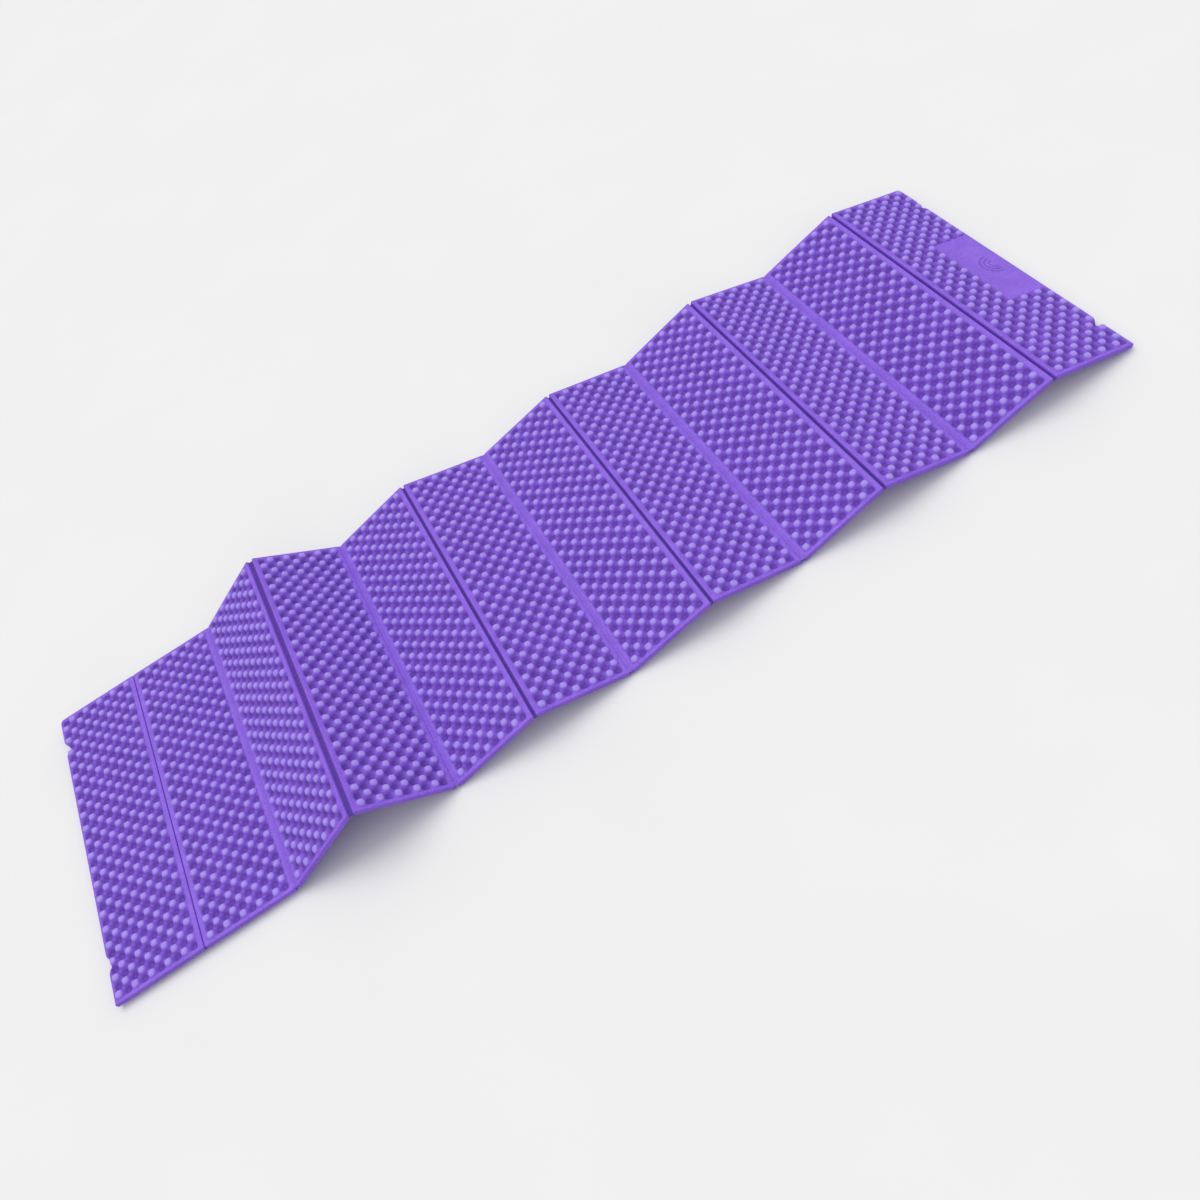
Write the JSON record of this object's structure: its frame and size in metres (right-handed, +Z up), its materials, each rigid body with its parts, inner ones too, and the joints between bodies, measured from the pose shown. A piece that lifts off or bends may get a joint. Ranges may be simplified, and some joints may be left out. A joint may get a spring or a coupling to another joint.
{
  "type": "foam sleeping pad",
  "caption": "Folding closed-cell foam sleeping pad of egg-crate panels joined by pressed living hinges, standing in a loose zigzag.",
  "frame": {"origin": "middle of the footprint, on the ground, with the pad standing in its loose zigzag", "axes": "+X along the pad towards the end with the smooth badge patch, +Y across it, +Z up"},
  "size_m": [1.7934, 0.57, 0.0939],
  "materials": {
    "foam": "matte closed-cell foam with a soft satin skin",
    "pressed_foam": "smooth heat-pressed foam, slightly glossier"
  },
  "bodies": {
    "panel_01": {"panel_01": "foam", "hinge_web_01": "pressed_foam"},
    "panel_02": {"panel_02": "foam"},
    "panel_03": {"panel_03": "foam", "hinge_web_02": "pressed_foam"},
    "panel_04": {"panel_04": "foam", "hinge_web_03": "pressed_foam"},
    "panel_05": {"panel_05": "foam", "hinge_web_04": "pressed_foam"},
    "panel_06": {"panel_06": "foam", "hinge_web_05": "pressed_foam"},
    "panel_07": {"panel_07": "foam", "hinge_web_06": "pressed_foam"},
    "panel_08": {"panel_08": "foam", "hinge_web_07": "pressed_foam"},
    "panel_09": {"panel_09": "foam", "hinge_web_08": "pressed_foam"},
    "panel_10": {"panel_10": "foam", "hinge_web_09": "pressed_foam"},
    "panel_11": {"panel_11": "foam", "hinge_web_10": "pressed_foam"},
    "panel_12": {"panel_12": "foam", "hinge_web_11": "pressed_foam"}
  },
  "joints": [
    {"name": "fold_01", "type": "hinge", "parent": "panel_02", "child": "panel_01", "pos_m": [-0.74661, 0, 0.00445], "axis": [0, -1, 0], "range_deg": [-0.4, 179.6], "stiffness_Nm_per_rad": 0.25, "deforming": ["hinge_web_01"]},
    {"name": "fold_02", "type": "hinge", "parent": "panel_02", "child": "panel_03", "pos_m": [-0.59161, 0, 0.01545], "axis": [0, -1, 0], "range_deg": [-31, 149], "stiffness_Nm_per_rad": 0.25, "deforming": ["hinge_web_02"]},
    {"name": "fold_03", "type": "hinge", "parent": "panel_03", "child": "panel_04", "pos_m": [-0.45308, 0, 0.08585], "axis": [0, 1, 0], "range_deg": [-64.3, 115.7], "stiffness_Nm_per_rad": 0.25, "deforming": ["hinge_web_03"]},
    {"name": "fold_04", "type": "hinge", "parent": "panel_04", "child": "panel_05", "pos_m": [-0.31749, 0, 0.00994], "axis": [0, -1, 0], "range_deg": [-48.9, 131.1], "stiffness_Nm_per_rad": 0.25, "deforming": ["hinge_web_04"]},
    {"name": "fold_05", "type": "hinge", "parent": "panel_05", "child": "panel_06", "pos_m": [-0.16525, 0, 0.04103], "axis": [0, 1, 0], "range_deg": [-31, 149], "stiffness_Nm_per_rad": 0.25, "deforming": ["hinge_web_05"]},
    {"name": "fold_06", "type": "hinge", "parent": "panel_06", "child": "panel_07", "pos_m": [-0.01289, 0, 0.01047], "axis": [0, -1, 0], "range_deg": [-29.5, 150.5], "stiffness_Nm_per_rad": 0.25, "deforming": ["hinge_web_06"]},
    {"name": "fold_07", "type": "hinge", "parent": "panel_07", "child": "panel_08", "pos_m": [0.14012, 0, 0.03757], "axis": [0, 1, 0], "range_deg": [-28.2, 151.8], "stiffness_Nm_per_rad": 0.25, "deforming": ["hinge_web_07"]},
    {"name": "fold_08", "type": "hinge", "parent": "panel_08", "child": "panel_09", "pos_m": [0.29313, 0, 0.01047], "axis": [0, -1, 0], "range_deg": [-30.3, 149.7], "stiffness_Nm_per_rad": 0.25, "deforming": ["hinge_web_08"]},
    {"name": "fold_09", "type": "hinge", "parent": "panel_09", "child": "panel_10", "pos_m": [0.44505, 0, 0.04315], "axis": [0, 1, 0], "range_deg": [-32.5, 147.5], "stiffness_Nm_per_rad": 0.25, "deforming": ["hinge_web_09"]},
    {"name": "fold_10", "type": "hinge", "parent": "panel_10", "child": "panel_11", "pos_m": [0.5969, 0, 0.01021], "axis": [0, -1, 0], "range_deg": [-31.5, 148.5], "stiffness_Nm_per_rad": 0.25, "deforming": ["hinge_web_10"]},
    {"name": "fold_11", "type": "hinge", "parent": "panel_11", "child": "panel_12", "pos_m": [0.74936, 0, 0.04023], "axis": [0, 1, 0], "range_deg": [-30.4, 149.6], "stiffness_Nm_per_rad": 0.25, "deforming": ["hinge_web_11"]}
  ]
}
